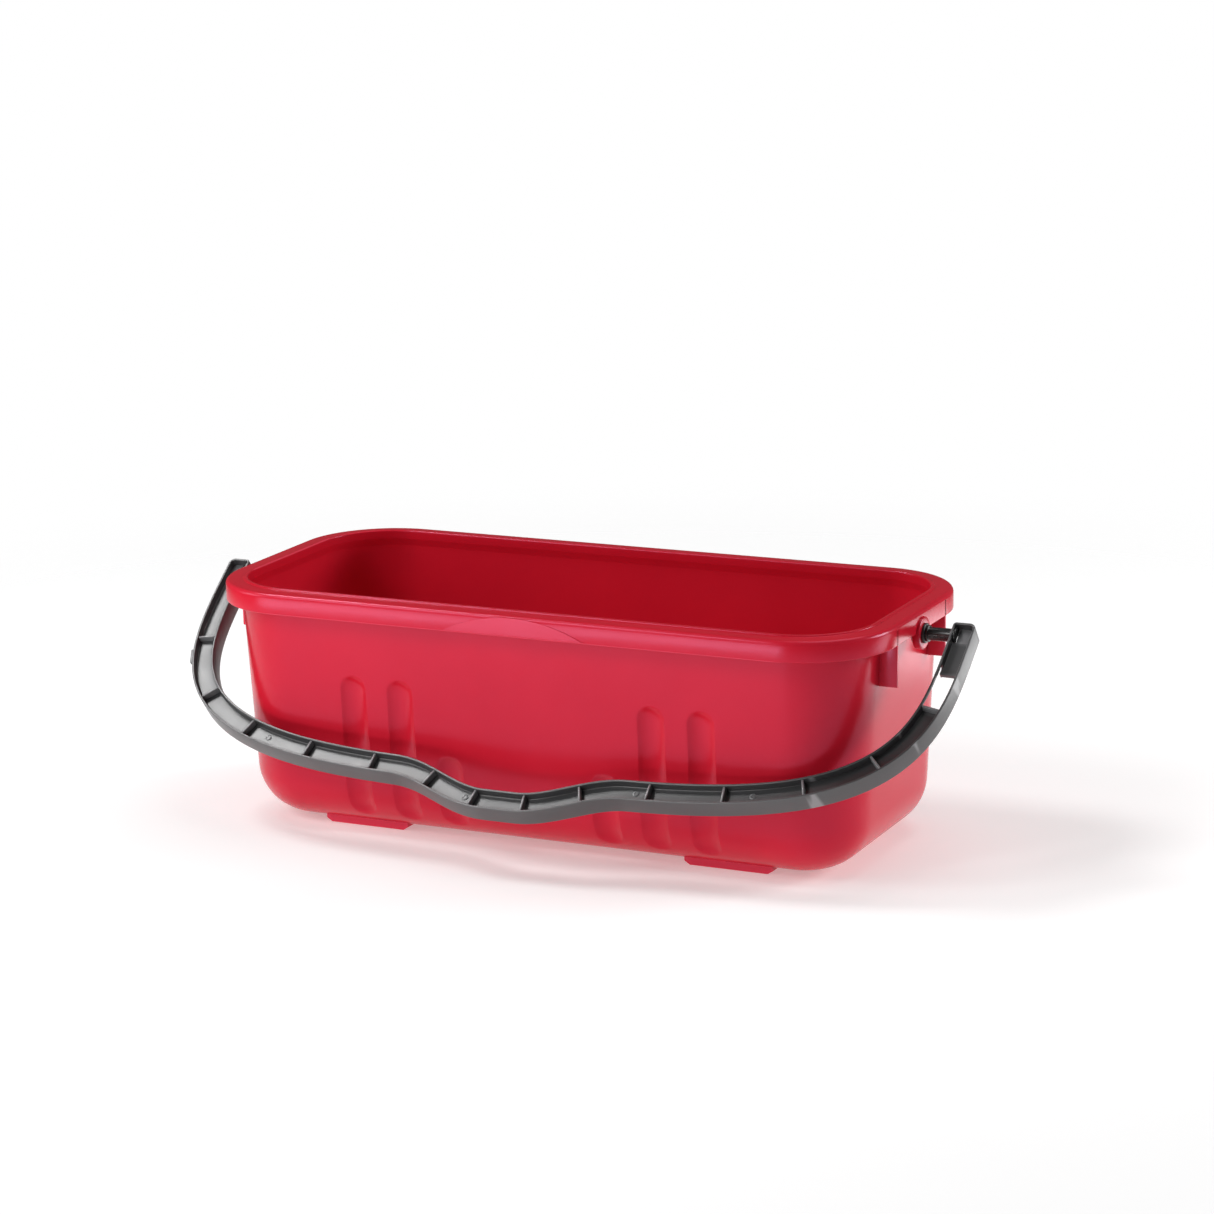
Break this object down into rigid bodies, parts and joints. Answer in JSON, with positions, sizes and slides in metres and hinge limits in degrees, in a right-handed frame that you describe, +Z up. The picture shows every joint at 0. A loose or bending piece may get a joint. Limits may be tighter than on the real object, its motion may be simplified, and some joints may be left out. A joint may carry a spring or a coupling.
{
  "type": "wash bucket",
  "caption": "Oblong moulded wash bucket with a deep turned-down rim, fluted walls and a swinging channel-section bail on flanged pivots.",
  "frame": {"origin": "middle of the flat underside of the tub, at the level of the surface it stands on to within the height of its feet", "axes": "+X along the bucket's length towards the right pivot, -Y towards the front where the bail hangs, +Z up"},
  "size_m": [0.6214, 0.2864, 0.1882],
  "materials": {
    "red_plastic": "smooth moulded polypropylene with a slight sheen",
    "black_plastic": "satin moulded plastic",
    "pin_plastic": "smooth black engineering plastic",
    "bush_plastic": "smooth black bearing plastic",
    "clip_steel": "plain spring steel"
  },
  "bodies": {
    "tub": {"tub": "red_plastic", "pivot_bush_left": "bush_plastic", "pivot_bush_right": "bush_plastic"},
    "handle": {"handle": "black_plastic", "pivot_pin_left": "pin_plastic", "pivot_pin_right": "pin_plastic", "pin_clip_left": "clip_steel", "pin_clip_right": "clip_steel"}
  },
  "joints": [
    {"name": "handle_swing", "type": "hinge", "parent": "tub", "child": "handle", "pos_m": [0, 0, 0.17], "axis": [-1, 0, 0], "range_deg": [-2.5, 258.5]}
  ]
}
